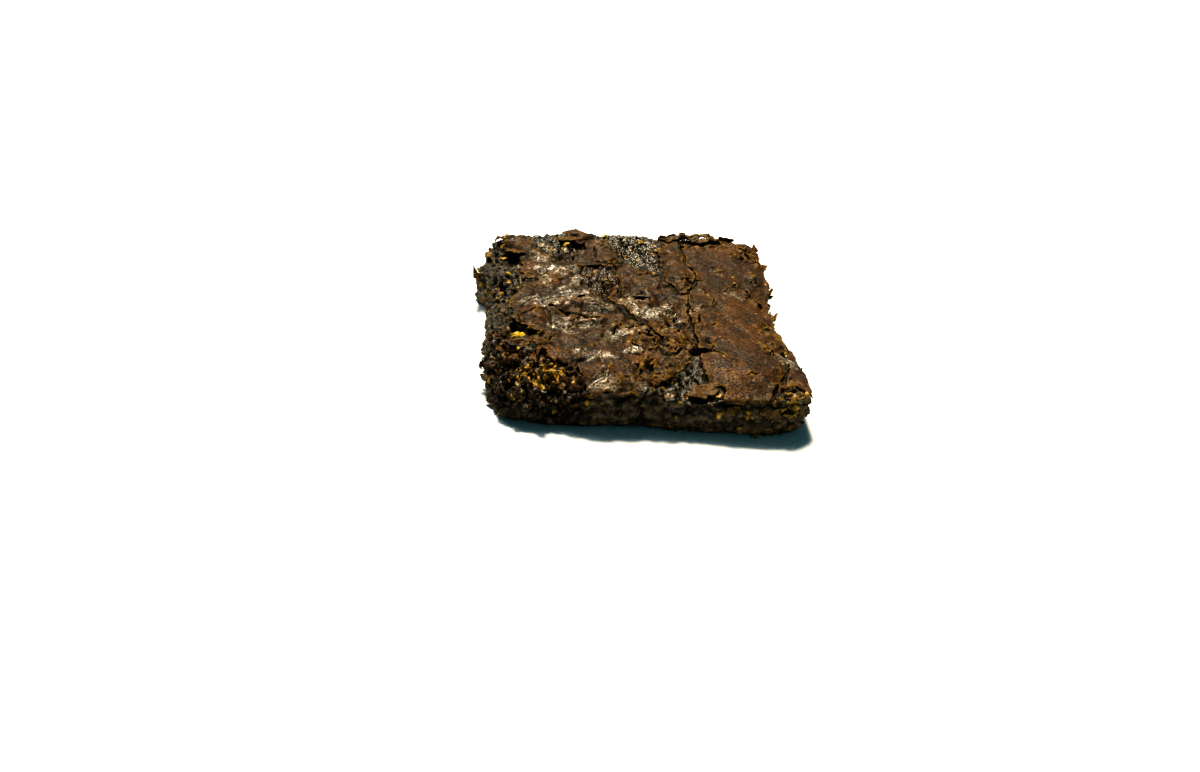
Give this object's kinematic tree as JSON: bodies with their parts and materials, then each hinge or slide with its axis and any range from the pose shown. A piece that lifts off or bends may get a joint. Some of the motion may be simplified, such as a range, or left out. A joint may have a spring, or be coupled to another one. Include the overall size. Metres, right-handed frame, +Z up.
{
  "type": "chocolate brownie",
  "caption": "Low square of chewy chocolate brownie cut from a tray, with a thin cracked crust, bare crumb patches, lifted flakes and one torn corner, on a flat base.",
  "frame": {"origin": "centre of the flat base, below the middle of the box round the brownie", "axes": "+Z up through the crust, +Y towards the back edge with the lifted flakes, +X to the right, the torn corner being at front left"},
  "size_m": [0.0728, 0.0772, 0.0123],
  "materials": {
    "crust": null
  },
  "bodies": {
    "root": {"brownie": "crust"}
  },
  "joints": []
}
